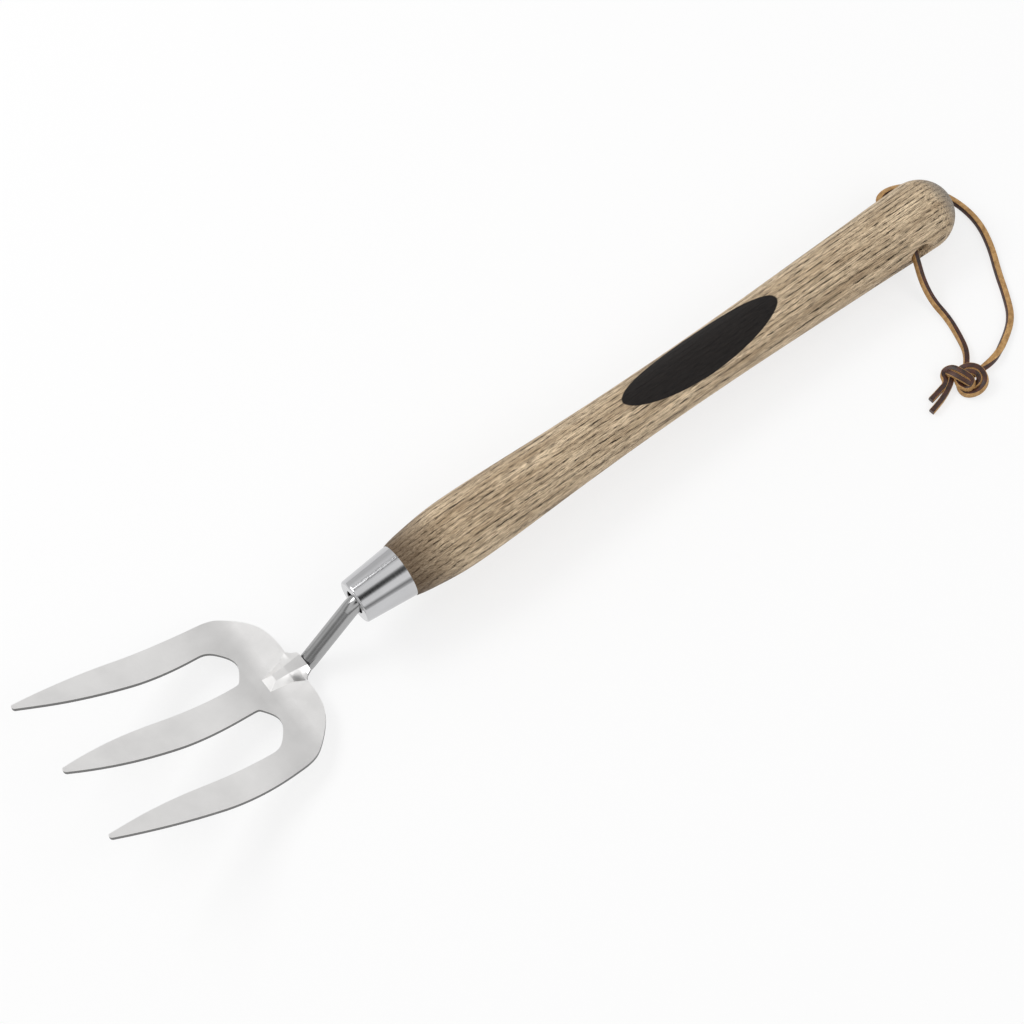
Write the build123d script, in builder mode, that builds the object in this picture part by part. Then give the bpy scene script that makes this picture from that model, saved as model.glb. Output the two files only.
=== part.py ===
from build123d import *
import os
from math import atan, degrees, pi, radians, tan

# Three-tined hand digging fork with a mid-length ash handle, lying on a flat surface.
# Tool frame: X runs along the handle axis towards the butt and is 0 where the wood leaves the ferrule,
# Y runs across the tines, Z points out of the hollow face of the tines. All sizes in millimetres.
# lay_down() turns every finished piece into the row frame, in which Z = 0 is the surface.

# Handle
handle_length = 310.0
handle_profile = [(0, 13.2), (9, 14.8), (22, 16.2), (42, 16.5), (80, 15.2), (130, 13.95), (180, 14.0),
                  (230, 15.0), (270, 16.05)]
butt_radius = 16.6
butt_dome = 17.0
spigot_length = 19.0
tang_start = 4.0
tang_length = 78.0
tang_end_radius = 2.4

# Cross bore for the thong
bore_x = 282.0
bore_radius = 4.2
bore_lip = 3.6

# Ferrule
ferrule_length = 25.5
ferrule_front_radius = 10.7
ferrule_rear_radius = 13.0
ferrule_wall = 1.3
ferrule_hole_radius = 5.8
ferrule_edge = 1.1

# Neck rod
rod_radius = 4.15
neck_corner = (-24.75, 0.0)
neck_foot = (-56.6, -26.2)
neck_end = (-71.0, -24.9)
neck_bend_radius = 15.0
foot_bend_radius = 12.0
wedge_start = (-59.0, -30.6)
wedge_end = (-76.0, -24.0)

# Fork head, pressed from one sheet
sheet = 2.0
tine_angle = 32.4
yoke_level = -20.8
yoke_corner_x = -101.0
yoke_bend_radius = 105.0
head_rear_x = -60.0
slot_start_x = -93.0
tine_tip_x = -178.0
middle_tip_x = -176.6
head_half_width = 44.7

# Raised socket rib over the end of the neck: (x, half width at the base, half width on top, top level)
rib_sections = [(-76.4, 4.1, 3.6, -20.7), (-71.6, 4.6, 1.7, -18.3), (-65.0, 6.4, 2.1, -18.5),
                (-60.6, 9.2, 2.5, -18.9), (-58.2, 6.6, 2.9, -19.2), (-55.8, 5.4, 3.2, -19.6)]
rib_edge_height = 0.2
rib_wall_inset = 1.5
rib_top_inset = 0.5

# Weld beads under the sheet
bead_radius = 1.9
bead_length = 13.0
bead_start_x = -71.5
bead_offset = 4.6
bead_level = -23.6

# Resting place: lowest point of the neck's foot
foot_x = -58.0
foot_level = -29.9

# Thong: a lace through the cross bore, knotted to a loop. Its routes are in the row frame.
lace_diameter = 3.0
front_route = [(215.3, 0, 17.0), (214.8, -9.5, 17.0), (211.6, -17.4, 15.2), (208.8, -24.8, 10.0),
               (207.8, -33.5, 4.2), (208.5, -43.5, 1.7), (206.6, -54.0, 1.6), (203.8, -63.5, 2.2),
               (200.0, -69.4, 4.4)]
back_route = [(215.3, 0, 17.0), (215.2, 9.5, 17.0), (216.8, 17.9, 16.6), (222.6, 20.4, 15.0),
              (231.0, 19.8, 11.0), (239.6, 16.6, 5.4), (246.6, 9.0, 2.0), (250.2, -2.0, 1.6),
              (250.6, -14.5, 1.6), (246.8, -27.5, 1.6), (241.0, -39.5, 1.6), (236.4, -51.0, 1.6),
              (230.8, -62.0, 1.6), (220.4, -69.3, 1.8), (210.6, -74.0, 2.6), (203.2, -77.2, 4.4)]
front_tail_route = [(188.6, -69.0, 4.2), (182.4, -70.4, 2.4), (176.2, -71.6, 1.8)]
back_tail_route = [(188.2, -74.4, 4.0), (180.6, -74.8, 2.2), (172.8, -76.4, 1.8)]
knot_centre = (195.2, -73.4, 4.7)
knot_size = (20.0, 14.0, 9.2)
knot_turn = -52.0
knot_rounding = 3.6


def corner_radii(route):
    """Largest arc that the two runs beside each corner leave room for."""
    points = [Vector(*point) for point in route]
    radii = []
    for before, corner, after in zip(points, points[1:], points[2:]):
        turn_angle = radians((corner - before).get_angle(after - corner))
        shorter_run = min((corner - before).length, (after - corner).length)
        radii.append(0.45 * shorter_run / tan(turn_angle / 2))
    return radii


# Pieces ---------------------------------------------------------------------------------------------------

# Neck and tang: one round bar, cranked down behind the head, with a wedge under the socket rib
with BuildPart() as neck_tang:
    with BuildLine(Plane.XZ) as neck_path:
        FilletPolyline((-tang_start, 0), neck_corner, neck_foot, neck_end,
                       radius=(neck_bend_radius, foot_bend_radius))
    with BuildSketch(Plane(origin=(-tang_start, 0, 0), z_dir=(-1, 0, 0))):
        Circle(rod_radius)
    sweep()
    with BuildSketch(Plane.XZ):
        with BuildLine():
            Polyline((-tang_start, 0), (-tang_start, rod_radius), (tang_start, rod_radius),
                     (tang_length, tang_end_radius), (tang_length, 0), close=True)
        make_face()
    revolve(axis=Axis.X)
    with BuildSketch(Plane.XZ):
        with BuildLine():
            Polyline(wedge_start, wedge_end, (wedge_end[0], wedge_start[1]), close=True)
        make_face()
    extrude(amount=2 * rod_radius, both=True, mode=Mode.SUBTRACT)

# Fork head: the sheet's side profile, cut to the outline seen from above
turn = radians(tine_angle)
rise = tan(turn)
corner_top = (yoke_corner_x, yoke_level)
corner_bottom = (yoke_corner_x - sheet * tan(turn / 2), yoke_level - sheet)
front_x = tine_tip_x - 8
front_top = (front_x, yoke_level + (yoke_corner_x - front_x) * rise)
front_bottom = (front_x, yoke_level - sheet + (corner_bottom[0] - front_x) * rise)
rear_x = head_rear_x + 10
with BuildPart() as fork_head:
    with BuildSketch(Plane.XZ):
        with BuildLine():
            upper = FilletPolyline(front_top, corner_top, (rear_x, yoke_level), radius=yoke_bend_radius)
            lower = FilletPolyline((rear_x, yoke_level - sheet), corner_bottom, front_bottom,
                                   radius=yoke_bend_radius + sheet)
            Line(upper @ 1, lower @ 0)
            Line(lower @ 1, upper @ 0)
        make_face()
    extrude(amount=head_half_width + 10, both=True)
    with BuildSketch(Plane.XY.offset(-60)):
        with BuildLine():
            rear = Line((head_rear_x, 0), (head_rear_x, 12))
            shoulder = Spline(rear @ 1, (-63, 27), (-73, 38.4), (-88, 43.4), tangents=((0, 1), (-1, 0.06)))
            outer = Spline(shoulder @ 1, (-125, head_half_width), (-155, 42.6), (tine_tip_x + 1.2, 39.5))
            tip = ThreePointArc(outer @ 1, (tine_tip_x, 38.3), (tine_tip_x + 1.2, 37.0))
            inner = Spline(tip @ 1, (-158, 33.2), (-132, 30.4), (slot_start_x, 29.7),
                           tangents=((1, -0.22), (1, 0)))
            slot = Spline(inner @ 1, (-84.6, 25.2), (-80.8, 16.2), (-84.6, 9.0), (slot_start_x, 7.6),
                          tangents=((1, 0), (-1, 0)))
            middle = Spline(slot @ 1, (-118, 8.0), (-145, 7.0), (-160, 4.9), (middle_tip_x + 1.5, 1.5))
            point = ThreePointArc(middle @ 1, (middle_tip_x + 0.4, 1.0), (middle_tip_x, 0))
            Line(point @ 1, rear @ 0)
        make_face()
        mirror(about=Plane.XZ)
    extrude(amount=120, mode=Mode.INTERSECT)
    # The socket rib stands up out of the sheet.
    for x, base, top, level in rib_sections:
        with BuildSketch(Plane(origin=(x, 0, 0), x_dir=(0, 1, 0), z_dir=(1, 0, 0))):
            foot = yoke_level - rib_edge_height
            Polygon((-base, yoke_level - sheet), (base, yoke_level - sheet), (base, foot), (top, level),
                    (-top, level), (-base, foot), align=None)
    loft(ruled=True)
    # Its hollow is open underneath and at the rear.
    for x, base, top, level in rib_sections[1:]:
        with BuildSketch(Plane(origin=(x + rib_wall_inset, 0, 0), x_dir=(0, 1, 0), z_dir=(1, 0, 0))):
            wall = base - rib_wall_inset
            crown = top - rib_top_inset
            floor = yoke_level - 2 * sheet
            Polygon((-wall, floor), (wall, floor), (wall, yoke_level - sheet), (crown, level - sheet),
                    (-crown, level - sheet), (-wall, yoke_level - sheet), align=None)
    loft(ruled=True, mode=Mode.SUBTRACT)
    add(neck_tang.part, mode=Mode.SUBTRACT)

# Weld beads along both sides of the wedge
with BuildPart() as neck_weld:
    for side in (-1, 1):
        with BuildSketch(Plane(origin=(bead_start_x, side * bead_offset, bead_level), z_dir=(1, 0, 0))):
            Circle(bead_radius)
        extrude(amount=bead_length)
    add(fork_head.part, mode=Mode.SUBTRACT)
    add(neck_tang.part, mode=Mode.SUBTRACT)

# Ferrule: a conical cup with a hole for the neck in its nose
with BuildPart() as ferrule:
    with BuildSketch(Plane.XZ):
        with BuildLine():
            Polyline((-ferrule_length, ferrule_hole_radius), (-ferrule_length, ferrule_front_radius),
                     (0, ferrule_rear_radius), (0, ferrule_rear_radius - ferrule_wall),
                     (ferrule_wall - ferrule_length, ferrule_front_radius - ferrule_wall),
                     (ferrule_wall - ferrule_length, ferrule_hole_radius), close=True)
        make_face()
    revolve(axis=Axis.X)
    nose = ferrule.edges().filter_by(GeomType.CIRCLE).group_by(Axis.X)[0]
    fillet(nose.sort_by(SortBy.LENGTH)[-1], ferrule_edge)
    fillet(nose.sort_by(SortBy.LENGTH)[0], 0.5)

# Handle: turned ash with a spigot inside the ferrule, a tang hole and the cross bore
ferrule_bore_slope = (ferrule_rear_radius - ferrule_front_radius) / (ferrule_length - ferrule_wall)
spigot_front = (-spigot_length, ferrule_rear_radius - ferrule_wall - spigot_length * ferrule_bore_slope)
with BuildPart() as handle:
    with BuildSketch(Plane.XZ):
        with BuildLine():
            dome_start = handle_length - butt_dome
            side_curve = Spline(*handle_profile, (dome_start, butt_radius), tangents=((1, 0.28), (1, 0.02)))
            dome = EllipticalCenterArc((dome_start, 0), butt_dome, butt_radius, start_angle=0, arc_size=90)
            Polyline(dome @ 0, (tang_length, 0), (tang_length, tang_end_radius), (tang_start, rod_radius),
                     (-spigot_length, rod_radius), spigot_front, (0, ferrule_rear_radius - ferrule_wall),
                     side_curve @ 0)
        make_face()
    revolve(axis=Axis.X)
    # Cross bore with rounded lips
    with BuildSketch(Plane(origin=(bore_x, 0, 0), z_dir=(0, 0, 1))):
        with BuildLine():
            reach = butt_radius + 1
            lip_start = butt_radius - bore_lip
            mouth_radius = bore_radius + bore_lip
            Polyline((0, -reach), (mouth_radius, -reach), (mouth_radius, -butt_radius))
            CenterArc((mouth_radius, -lip_start), bore_lip, 180, 90)
            Line((bore_radius, -lip_start), (bore_radius, lip_start))
            CenterArc((mouth_radius, lip_start), bore_lip, 90, 90)
            Polyline((mouth_radius, butt_radius), (mouth_radius, reach), (0, reach), (0, -reach))
        make_face()
    revolve(axis=Axis((bore_x, 0, 0), (0, 1, 0)), mode=Mode.SUBTRACT)

# Thong tubes: straight runs joined by tangent arcs
thong = {}
routes = {"thong_front": front_route, "thong_back": back_route, "thong_front_tail": front_tail_route,
          "thong_back_tail": back_tail_route}
for name, route in routes.items():
    radii = corner_radii(route)
    with BuildPart() as lace:
        with BuildLine() as lace_path:
            FilletPolyline(*route, radius=radii)
        with BuildSketch(Plane(origin=route[0], z_dir=lace_path.line % 0)):
            Circle(lace_diameter / 2)
        sweep()
    thong[name] = lace
    tube_length = sum(edge.length for edge in lace_path.edges())
    tube_volume = tube_length * pi * lace_diameter ** 2 / 4
    print(name, "radii", [round(r, 1) for r in radii], "length", round(tube_length, 1),
          "volume over section x length", round(lace.part.volume / tube_volume, 4))

# Thong knot: outer shape of the overhand knot in both strands
with BuildPart() as thong_knot:
    with Locations(Location(knot_centre, (0, 0, knot_turn))):
        Box(*knot_size)
    fillet(thong_knot.edges().filter_by(Axis.Z), knot_rounding + 2)
    fillet(thong_knot.edges().group_by(Axis.Z)[-1], knot_rounding)
    fillet(thong_knot.edges().group_by(Axis.Z)[0], knot_rounding)
    for strand in thong.values():
        add(strand.part, mode=Mode.SUBTRACT)
thong["thong_knot"] = thong_knot

# The tool rests on the foot of the neck and on the underside of the butt, centred over the row's origin.
rest_tilt = atan((foot_level + butt_radius) / (foot_x - dome_start))
tilt = Rot(0, degrees(rest_tilt), 0)
tool = {"fork_head": fork_head, "neck_tang": neck_tang, "neck_weld": neck_weld, "ferrule": ferrule,
        "handle": handle}
extent = Compound([tilt * piece.part for piece in tool.values()]).bounding_box()
row_place = Pos(-extent.center().X, 0, -extent.min.Z) * tilt

os.makedirs("parts", exist_ok=True)
laid = {name: row_place * piece.part for name, piece in tool.items()}
laid.update({name: piece.part for name, piece in thong.items()})
for name, piece in laid.items():
    piece.label = name
    export_step(piece, f"parts/{name}.step")
    box = piece.bounding_box()
    print(name, len(piece.solids()), [round(value, 2) for value in (*box.min, *box.max)])
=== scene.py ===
import math

import bmesh
import bpy
from mathutils import Matrix, Quaternion, Vector


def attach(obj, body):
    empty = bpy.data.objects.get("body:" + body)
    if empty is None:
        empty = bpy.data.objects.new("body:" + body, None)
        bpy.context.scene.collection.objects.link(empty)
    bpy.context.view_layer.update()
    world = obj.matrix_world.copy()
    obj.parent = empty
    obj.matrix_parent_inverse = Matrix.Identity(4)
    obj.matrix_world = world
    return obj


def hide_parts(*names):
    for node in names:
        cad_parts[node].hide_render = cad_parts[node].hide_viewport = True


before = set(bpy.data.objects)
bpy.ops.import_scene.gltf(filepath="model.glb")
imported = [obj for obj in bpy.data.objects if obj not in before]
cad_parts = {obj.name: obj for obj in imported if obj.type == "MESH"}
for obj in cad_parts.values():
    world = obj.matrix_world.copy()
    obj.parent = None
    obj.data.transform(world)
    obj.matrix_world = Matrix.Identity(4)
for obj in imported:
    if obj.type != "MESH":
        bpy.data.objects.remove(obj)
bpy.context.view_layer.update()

# Sizes in metres, in the row frame: Z = 0 is the surface, X runs to the butt of the handle.
MM = 0.001

# The tool lies at a small tilt. Its materials follow its own axis, and the wood's start at the ferrule's rim.
TOOL_TILT = math.radians(2.17)
WOOD_START = Vector((-0.06644, 0.0, 0.02775))

# Wood: pitch of the growth lines, reach of the stain beside the ferrule, and the dark oval's place and size
LINE_PITCH = 0.00235
STAIN_REACH = 0.030
OVAL_CENTRE = 0.1676
OVAL_HALF_LENGTH = 0.0440
OVAL_HALF_WIDTH = 0.0109

# Thong: route points in millimetres. The legs repeat the CAD tubes' points up to the knot. The tails repeat
# them from the knot on, and lie up to 0.5 mm lower beside it.
LACE_WIDTH = 3.1 * MM
LACE_THICKNESS = 2.7 * MM
LACE_CORNER = 0.55 * MM
FRONT_LEG = [(215.3, 0, 17.0), (214.8, -9.5, 17.0), (211.6, -17.4, 15.2), (208.8, -24.8, 10.0),
             (207.8, -33.5, 4.2), (208.5, -43.5, 1.7), (206.6, -54.0, 1.6), (203.8, -63.5, 2.2)]
BACK_LEG = [(215.3, 0, 17.0), (215.2, 9.5, 17.0), (216.8, 17.9, 16.6), (222.6, 20.4, 15.0),
            (231.0, 19.8, 11.0), (239.6, 16.6, 5.4), (246.6, 9.0, 2.0), (250.2, -2.0, 1.6),
            (250.6, -14.5, 1.6), (246.8, -27.5, 1.6), (241.0, -39.5, 1.6), (236.4, -51.0, 1.6),
            (230.8, -62.0, 1.6), (220.4, -69.3, 1.8), (210.6, -74.0, 2.6)]
# Both strands follow this line through the overhand knot, side by side.
KNOT_LINE = [(197.1, -72.3, 2.4), (191.8, -73.8, 1.9), (190.9, -78.6, 2.2), (195.6, -81.2, 3.2),
             (200.4, -79.8, 4.4), (201.2, -75.2, 6.2), (198.0, -71.2, 6.6), (193.8, -70.0, 4.6),
             (191.6, -73.8, 3.6), (192.9, -78.4, 4.6), (195.0, -77.8, 6.6), (193.0, -72.2, 7.6),
             (191.4, -67.0, 6.4), (189.2, -65.6, 3.8), (188.6, -69.6, 2.2)]
FRONT_TAIL = [(182.4, -70.4, 1.9), (176.2, -71.6, 1.8)]
BACK_TAIL = [(180.6, -74.8, 1.9), (172.8, -76.4, 1.8)]
STRAND_GAP = 1.5

# Camera: a long lens, with its place and axes in the row frame
LENS_MM = 157.7
SENSOR_MM = 36.0
CAMERA_PLACE = Vector((-0.37843, -0.80771, 1.82482))
CAMERA_RIGHT = Vector((0.80175, -0.58952, -0.09827))
CAMERA_UP = Vector((0.56871, 0.70198, 0.42871))

# World: grey levels by the cosine of the angle from the gap overhead
GAP_DIRECTION = (-0.184, -0.400, 0.898)
WORLD_LEVELS = ((0.0, 0.70), (0.30, 0.86), (0.60, 0.25), (0.76, 1.0), (0.93, 0.95), (0.97, 0.03))
FLOOR_GLOW = 0.72


# Node helpers -------------------------------------------------------------------------------------------

class Shader:
    """A material's node tree with short calls for the nodes that the materials share."""

    def __init__(self, name):
        self.material = bpy.data.materials.new(name)
        self.material.use_nodes = True
        self.tree = self.material.node_tree
        self.bsdf = self.tree.nodes["Principled BSDF"]

    def set(self, **values):
        for socket, value in values.items():
            self.bsdf.inputs[socket.replace("_", " ")].default_value = value

    def add(self, kind, **settings):
        made = self.tree.nodes.new(kind)
        for key, value in settings.items():
            setattr(made, key, value)
        return made

    def link(self, source, target):
        self.tree.links.new(source, target)

    def feed(self, socket, source):
        self.link(source, self.bsdf.inputs[socket])

    def place(self, scale=(1, 1, 1), origin=(0, 0, 0), tilt=0.0):
        """Object coordinates in metres, moved to origin, turned about Y and scaled."""
        coordinates = self.add("ShaderNodeTexCoord")
        moved = self.add("ShaderNodeVectorMath", operation="SUBTRACT")
        moved.inputs[1].default_value = origin
        self.link(coordinates.outputs["Object"], moved.inputs[0])
        turned = self.add("ShaderNodeVectorRotate", rotation_type="Y_AXIS")
        turned.inputs["Angle"].default_value = -tilt
        self.link(moved.outputs[0], turned.inputs["Vector"])
        scaled = self.add("ShaderNodeVectorMath", operation="MULTIPLY")
        scaled.inputs[1].default_value = scale
        self.link(turned.outputs[0], scaled.inputs[0])
        return scaled.outputs[0]

    def noise(self, vector, scale, detail=3.0, roughness=0.55):
        made = self.add("ShaderNodeTexNoise")
        made.inputs["Scale"].default_value = scale
        made.inputs["Detail"].default_value = detail
        made.inputs["Roughness"].default_value = roughness
        self.link(vector, made.inputs["Vector"])
        return made.outputs["Fac"]

    def math(self, operation, a, b=0.0, clamp=False):
        made = self.add("ShaderNodeMath", operation=operation, use_clamp=clamp)
        for socket, value in zip(made.inputs, (a, b)):
            if isinstance(value, (int, float)):
                socket.default_value = value
            else:
                self.link(value, socket)
        return made.outputs[0]

    def ramp(self, factor, *stops, smooth=False):
        """stops are (position, grey level or colour)."""
        made = self.add("ShaderNodeValToRGB")
        ramp = made.color_ramp
        ramp.interpolation = "EASE" if smooth else "LINEAR"
        while len(ramp.elements) < len(stops):
            ramp.elements.new(0.5)
        for element, (position, colour) in zip(ramp.elements, stops):
            element.position = position
            element.color = (colour,) * 3 + (1,) if isinstance(colour, (int, float)) else (*colour, 1)
        self.link(factor, made.inputs["Fac"])
        return made.outputs["Color"]

    def mix(self, factor, a, b, blend="MIX"):
        made = self.add("ShaderNodeMix", data_type="RGBA", blend_type=blend)
        for socket, value in ((made.inputs[0], factor), (made.inputs[6], a), (made.inputs[7], b)):
            if isinstance(value, (int, float)):
                socket.default_value = value
            elif isinstance(value, tuple):
                socket.default_value = (*value, 1)
            else:
                self.link(value, socket)
        return made.outputs[2]

    def bump(self, height, strength, distance):
        made = self.add("ShaderNodeBump")
        made.inputs["Strength"].default_value = strength
        made.inputs["Distance"].default_value = distance
        self.link(height, made.inputs["Height"])
        self.feed("Normal", made.outputs["Normal"])

    def split(self, vector):
        made = self.add("ShaderNodeSeparateXYZ")
        self.link(vector, made.inputs[0])
        return made.outputs


# Materials ----------------------------------------------------------------------------------------------

def steel(name, colour, roughness, grain_scale, grain_strength, spread=0.06, edge=1.0):
    """Polished stainless: fine grain, faint cloudy wear and small changes in gloss.
    edge multiplies the colour of faces that stand upright, such as the cut edges of the sheet: this is
    painted shade that darkens them."""
    shader = Shader(name)
    shader.set(Metallic=1.0)
    clouds = shader.noise(shader.place(), 55.0, detail=4.0)
    grain = shader.noise(shader.place(scale=grain_scale, tilt=TOOL_TILT), 1.0, detail=2.0)
    dark = tuple(channel * 0.93 for channel in colour)
    tint = shader.mix(shader.ramp(clouds, (0.35, 0.0), (0.65, 1.0)), dark, colour)
    # Painted shade: faces that stand upright, such as the sheet's cut edges, have their colour multiplied by
    # edge.
    facing = shader.split(shader.add("ShaderNodeTexCoord").outputs["Normal"])[2]
    painted_edge_shade = shader.ramp(shader.math("ABSOLUTE", facing), (0.30, edge), (0.60, 1.0))
    shader.feed("Base Color", shader.mix(1.0, tint, painted_edge_shade, blend="MULTIPLY"))
    cloud_gloss = shader.math("MULTIPLY", clouds, spread)
    gloss = shader.math("ADD", cloud_gloss, shader.math("MULTIPLY", grain, spread))
    shader.feed("Roughness", shader.math("ADD", gloss, roughness - spread))
    shader.bump(grain, grain_strength, 0.00005)
    return shader.material


def ash_wood():
    """Dark-grained ash: straight broken growth lines, fine pores, a dark oval patch and grey end grain."""
    shader = Shader("ash_wood")
    along, across, height = shader.split(shader.place(origin=WOOD_START, tilt=TOOL_TILT))
    drift = shader.noise(shader.place(scale=(9, 60, 60), tilt=TOOL_TILT), 1.0, detail=2.0)
    wander = shader.noise(shader.place(scale=(60, 260, 260), tilt=TOOL_TILT), 1.0, detail=2.0)
    shifted = shader.math("ADD", across, shader.math("MULTIPLY", drift, 0.0030))
    shifted = shader.math("ADD", shifted, shader.math("MULTIPLY", wander, 0.0011))
    shifted = shader.math("ADD", shifted, shader.math("MULTIPLY", height, 0.22))
    ring = shader.math("FRACT", shader.math("MULTIPLY", shifted, 1 / LINE_PITCH))
    line = shader.ramp(ring, (0.0, 1.0), (0.16, 0.85), (0.42, 0.0), (0.88, 0.0), (1.0, 1.0))
    pore_place = shader.place(scale=(130, 2300, 2300), tilt=TOOL_TILT)
    pores = shader.noise(pore_place, 1.0, detail=3.0, roughness=0.75)
    dashes = shader.ramp(pores, (0.49, 0.0), (0.55, 1.0))
    fine = shader.noise(shader.place(scale=(260, 5200, 5200), tilt=TOOL_TILT), 1.0, detail=2.0)
    tone = shader.noise(shader.place(scale=(26, 210, 210), tilt=TOOL_TILT), 1.0, detail=3.0)
    light = shader.mix(shader.ramp(tone, (0.3, 0.0), (0.7, 1.0)), (0.50, 0.365, 0.225), (0.92, 0.73, 0.50))
    light = shader.mix(shader.ramp(fine, (0.36, 0.85), (0.52, 0.0)), light, (0.22, 0.145, 0.08))
    loose_dashes = shader.math("MULTIPLY", dashes, 0.42)
    dark = shader.math("MAXIMUM", shader.math("MULTIPLY", line, dashes), loose_dashes)
    strength = shader.math("ADD", shader.math("MULTIPLY", line, 0.18), dark, clamp=True)
    colour = shader.mix(strength, light, (0.030, 0.018, 0.009))
    # Darker at the ferrule
    stained = shader.ramp(shader.math("DIVIDE", along, STAIN_REACH), (0.0, 0.78), (1.0, 0.0), smooth=True)
    colour = shader.mix(stained, colour, (0.060, 0.032, 0.014))
    # Grey end grain on the dome, with open pores
    speckle = shader.noise(shader.place(scale=(1400, 1400, 1400)), 1.0, detail=2.0)
    end_colour = shader.mix(shader.ramp(speckle, (0.40, 0.0), (0.62, 1.0)), (0.12, 0.105, 0.09),
                            (0.36, 0.31, 0.25))
    end_mask = shader.ramp(shader.math("ADD", along, shader.math("MULTIPLY", tone, 0.004)), (0.3015, 0.0),
                           (0.3075, 0.9), smooth=True)
    colour = shader.mix(end_mask, colour, end_colour)
    # Plain dark oval on the upper side
    reach = shader.math("DIVIDE", shader.math("SUBTRACT", along, OVAL_CENTRE), OVAL_HALF_LENGTH)
    side = shader.math("DIVIDE", across, OVAL_HALF_WIDTH)
    radius = shader.math("ADD", shader.math("MULTIPLY", reach, reach), shader.math("MULTIPLY", side, side))
    radius = shader.math("ADD", radius, shader.math("MULTIPLY", wander, 0.03))
    patch = shader.math("MULTIPLY", shader.ramp(radius, (0.97, 1.0), (1.0, 0.0)),
                        shader.math("GREATER_THAN", height, 0.0))
    wear = shader.ramp(fine, (0.35, 0.0), (0.7, 1.0))
    worn = shader.mix(wear, (0.004, 0.003, 0.003), (0.016, 0.012, 0.010))
    colour = shader.mix(patch, colour, worn)
    shader.feed("Base Color", colour)
    shader.set(Specular_IOR_Level=0.3)
    rough = shader.math("ADD", shader.math("MULTIPLY", strength, 0.18), 0.52)
    shader.feed("Roughness", shader.math("ADD", rough, shader.math("MULTIPLY", patch, 0.2), clamp=True))
    relief = shader.math("SUBTRACT", shader.math("MULTIPLY", fine, 0.35), strength)
    shader.bump(relief, 0.55, 0.00022)
    return shader.material


def leather(name, dark, light, roughness, grain_strength):
    """Waxed lace: mottled colour and a pebbled grain."""
    shader = Shader(name)
    mottle = shader.noise(shader.place(), 420.0, detail=4.0)
    grain = shader.noise(shader.place(), 2600.0, detail=3.0)
    colour = shader.mix(shader.ramp(mottle, (0.35, 0.0), (0.65, 1.0)), dark, light)
    colour = shader.mix(shader.ramp(grain, (0.35, 0.35), (0.55, 0.0)), colour, tuple(c * 0.4 for c in dark))
    shader.feed("Base Color", colour)
    shader.feed("Roughness", shader.math("ADD", shader.math("MULTIPLY", mottle, 0.2), roughness))
    shader.bump(grain, grain_strength, 0.00012)
    return shader.material


def dress(node_name, material):
    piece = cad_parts[node_name]
    piece.data.materials.clear()
    piece.data.materials.append(material)


def dress_tool():
    # edge=0.16 is painted shade that makes the head's cut edges near-black.
    satin = steel("satin_stainless", (0.95, 0.94, 0.93), 0.30, (260, 1500, 1500), 0.25, edge=0.16)
    bar = steel("bar_stainless", (0.40, 0.40, 0.40), 0.16, (500, 500, 500), 0.12)
    spun = steel("spun_stainless", (0.58, 0.58, 0.59), 0.12, (2400, 120, 120), 0.12, spread=0.04)
    bead = steel("weld_stainless", (0.50, 0.49, 0.48), 0.42, (900, 900, 900), 0.9)
    dress("fork_head", satin)
    dress("neck_tang", bar)
    dress("ferrule", spun)
    dress("neck_weld", bead)
    dress("handle", ash_wood())


# Thong --------------------------------------------------------------------------------------------------

def side_by_side(line, offset):
    """The line moved sideways in plan by offset."""
    moved = []
    for index, point in enumerate(line):
        before = Vector(line[max(index - 1, 0)])
        after = Vector(line[min(index + 1, len(line) - 1)])
        along = (after - before).to_2d().normalized()
        moved.append((point[0] - along.y * offset, point[1] + along.x * offset, point[2]))
    return moved


def route_points(name, route):
    """Points read from the NURBS spline through the route's control points."""
    curve = bpy.data.curves.new(name + "_route", "CURVE")
    curve.dimensions = "3D"
    curve.resolution_u = 10
    spline = curve.splines.new("NURBS")
    spline.points.add(len(route) - 1)
    for point, place in zip(spline.points, route):
        point.co = (*(Vector(place) * MM), 1)
    spline.order_u = 3
    spline.use_endpoint_u = True
    holder = bpy.data.objects.new(name + "_route", curve)
    bpy.context.scene.collection.objects.link(holder)
    mesh = bpy.data.meshes.new_from_object(holder)
    points = [vertex.co.copy() for vertex in mesh.vertices]
    bpy.data.objects.remove(holder)
    return points


def lace_section():
    """Corners of the lace's rounded rectangle, counter-clockwise, with True where the face is a cut edge."""
    half_width = LACE_WIDTH / 2 - LACE_CORNER
    half_thickness = LACE_THICKNESS / 2 - LACE_CORNER
    section = []
    for quarter, (x, y) in enumerate(((1, 1), (-1, 1), (-1, -1), (1, -1))):
        for step in range(4):
            angle = math.radians(90 * quarter + 30 * step)
            place = (x * half_width + LACE_CORNER * math.cos(angle),
                     y * half_thickness + LACE_CORNER * math.sin(angle))
            on_cut_edge = step >= 1 if quarter % 2 == 0 else step < 2
            section.append((place, on_cut_edge))
    return section


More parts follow.
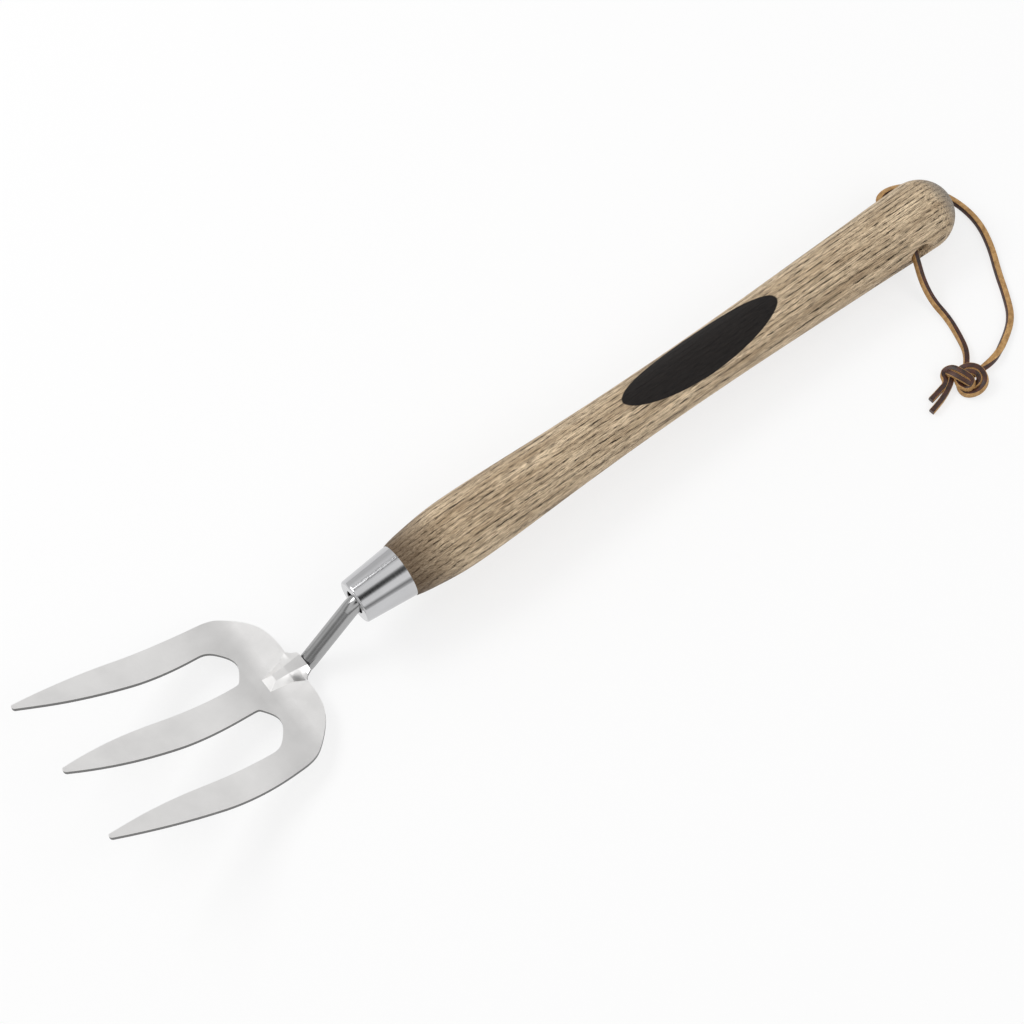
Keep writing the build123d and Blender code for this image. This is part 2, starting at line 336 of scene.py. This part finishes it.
def lace(name, route, rolls):
    """A lace of rounded rectangular section along the route, with its points and its length.
    rolls are (share of the length, turn in degrees)."""
    points = route_points(name, route)
    lengths = [0.0]
    for before, after in zip(points, points[1:]):
        lengths.append(lengths[-1] + (after - before).length)
    section = lace_section()
    mesh = bmesh.new()
    rings = []
    for index, point in enumerate(points):
        tangent = (points[min(index + 1, len(points) - 1)] - points[max(index - 1, 0)]).normalized()
        side = tangent.cross(Vector((0, 0, 1))).normalized()
        up = side.cross(tangent)
        turn = Quaternion(tangent, roll_at(rolls, lengths[index] / lengths[-1]))
        ring = [mesh.verts.new(point + turn @ (side * x + up * y)) for (x, y), cut in section]
        rings.append(ring)
    count = len(section)
    for ring, following in zip(rings, rings[1:]):
        for index in range(count):
            after = (index + 1) % count
            face = mesh.faces.new((ring[index], ring[after], following[after], following[index]))
            face.material_index = 1 if section[index][1] else 0
            face.smooth = True
    mesh.faces.new(rings[0][::-1])
    mesh.faces.new(rings[-1])
    for cap in mesh.faces[-2:]:
        cap.material_index = 0
    bmesh.ops.recalc_face_normals(mesh, faces=mesh.faces)
    data = bpy.data.meshes.new(name)
    mesh.to_mesh(data)
    mesh.free()
    piece = bpy.data.objects.new(name, data)
    bpy.context.scene.collection.objects.link(piece)
    return piece, points, lengths[-1]


def roll_at(rolls, share):
    """Turn about the lace's own line at a share of its length, in radians."""
    for (start, first), (end, second) in zip(rolls, rolls[1:]):
        if share <= end:
            return math.radians(first + (second - first) * (share - start) / (end - start))
    return math.radians(rolls[-1][1])


def tie_thong():
    """Two strands from the bore, each through the knot to its own tail."""
    grain = leather("lace_grain", (0.020, 0.009, 0.006), (0.085, 0.022, 0.010), 0.36, 0.35)
    cut = leather("lace_cut_edge", (0.36, 0.19, 0.06), (0.58, 0.34, 0.13), 0.55, 0.5)
    front_rolls = ((0, 240), (0.30, 242), (0.42, 260), (1, 260))
    back_rolls = ((0, 0), (0.10, -25), (0.62, -30), (0.70, 70), (1, 80))
    strands = (("front", FRONT_LEG, FRONT_TAIL, -1, front_rolls),
               ("back", BACK_LEG, BACK_TAIL, 1, back_rolls))
    for end, leg, tail, side, rolls in strands:
        route = leg + side_by_side(KNOT_LINE, side * STRAND_GAP) + tail
        piece, points, length = lace("thong_strand_" + end, route, rolls)
        piece.data.materials.append(grain)
        piece.data.materials.append(cut)
        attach(piece, "root")
        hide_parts("thong_" + end, "thong_" + end + "_tail", "thong_knot")


# Studio -------------------------------------------------------------------------------------------------

def floor():
    mesh = bmesh.new()
    bmesh.ops.create_grid(mesh, x_segments=1, y_segments=1, size=6)
    data = bpy.data.meshes.new("floor")
    mesh.to_mesh(data)
    mesh.free()
    ground = bpy.data.objects.new("floor", data)
    bpy.context.scene.collection.objects.link(ground)
    shader = Shader("floor_white")
    shader.set(Base_Color=(0.92, 0.92, 0.92, 1), Roughness=0.9)
    path = shader.add("ShaderNodeLightPath")
    seen = shader.math("MAXIMUM", path.outputs["Is Camera Ray"], path.outputs["Is Glossy Ray"])
    seen = shader.math("MAXIMUM", seen, path.outputs["Is Transmission Ray"])
    glow = shader.add("ShaderNodeEmission")
    blend = shader.add("ShaderNodeMixShader")
    shader.link(shader.math("MULTIPLY", seen, FLOOR_GLOW), blend.inputs[0])
    shader.link(shader.bsdf.outputs[0], blend.inputs[1])
    shader.link(glow.outputs[0], blend.inputs[2])
    shader.link(blend.outputs[0], shader.tree.nodes["Material Output"].inputs["Surface"])
    data.materials.append(shader.material)


def studio_world():
    """White to the camera, and to everything else a pale studio with a grey band and a dark gap overhead."""
    world = bpy.data.worlds.new("studio")
    bpy.context.scene.world = world
    world.use_nodes = True
    tree = world.node_tree
    background = tree.nodes["Background"]
    coordinates = tree.nodes.new("ShaderNodeTexCoord")
    along = tree.nodes.new("ShaderNodeVectorMath")
    along.operation = "DOT_PRODUCT"
    along.inputs[1].default_value = GAP_DIRECTION
    tree.links.new(coordinates.outputs["Generated"], along.inputs[0])
    ramp = tree.nodes.new("ShaderNodeValToRGB")
    while len(ramp.color_ramp.elements) < len(WORLD_LEVELS):
        ramp.color_ramp.elements.new(0.5)
    for element, (position, level) in zip(ramp.color_ramp.elements, WORLD_LEVELS):
        element.position = position
        element.color = (level, level, level, 1)
    tree.links.new(along.outputs["Value"], ramp.inputs["Fac"])
    path = tree.nodes.new("ShaderNodeLightPath")
    mix = tree.nodes.new("ShaderNodeMix")
    mix.data_type = "RGBA"
    tree.links.new(path.outputs["Is Camera Ray"], mix.inputs[0])
    tree.links.new(ramp.outputs["Color"], mix.inputs[6])
    mix.inputs[7].default_value = (1, 1, 1, 1)
    tree.links.new(mix.outputs[2], background.inputs["Color"])


def lamp(name, place, target, size, power):
    data = bpy.data.lights.new(name, "AREA")
    data.shape = "RECTANGLE"
    data.size, data.size_y = size
    data.energy = power
    light = bpy.data.objects.new(name, data)
    light.location = place
    light.rotation_euler = (Vector(target) - Vector(place)).to_track_quat("-Z", "Y").to_euler()
    bpy.context.scene.collection.objects.link(light)


def camera():
    """A long lens high on the tines' side, looking down at the tool."""
    data = bpy.data.cameras.new("camera")
    data.sensor_width = SENSOR_MM
    data.lens = LENS_MM
    data.clip_end = 20.0
    eye = bpy.data.objects.new("camera", data)
    turned = Matrix((CAMERA_RIGHT, CAMERA_UP, CAMERA_RIGHT.cross(CAMERA_UP))).transposed()
    eye.matrix_world = Matrix.Translation(CAMERA_PLACE) @ turned.to_4x4()
    bpy.context.scene.collection.objects.link(eye)
    bpy.context.scene.camera = eye


camera()
floor()
studio_world()
lamp("key", (-0.5, 0.9, 1.3), (0, 0, 0), (0.9, 0.6), 9.0)
lamp("fill", (0.7, -0.9, 1.1), (0, 0, 0), (0.9, 0.9), 4.0)
bpy.context.scene.view_settings.view_transform = "Standard"
dress_tool()
tie_thong()
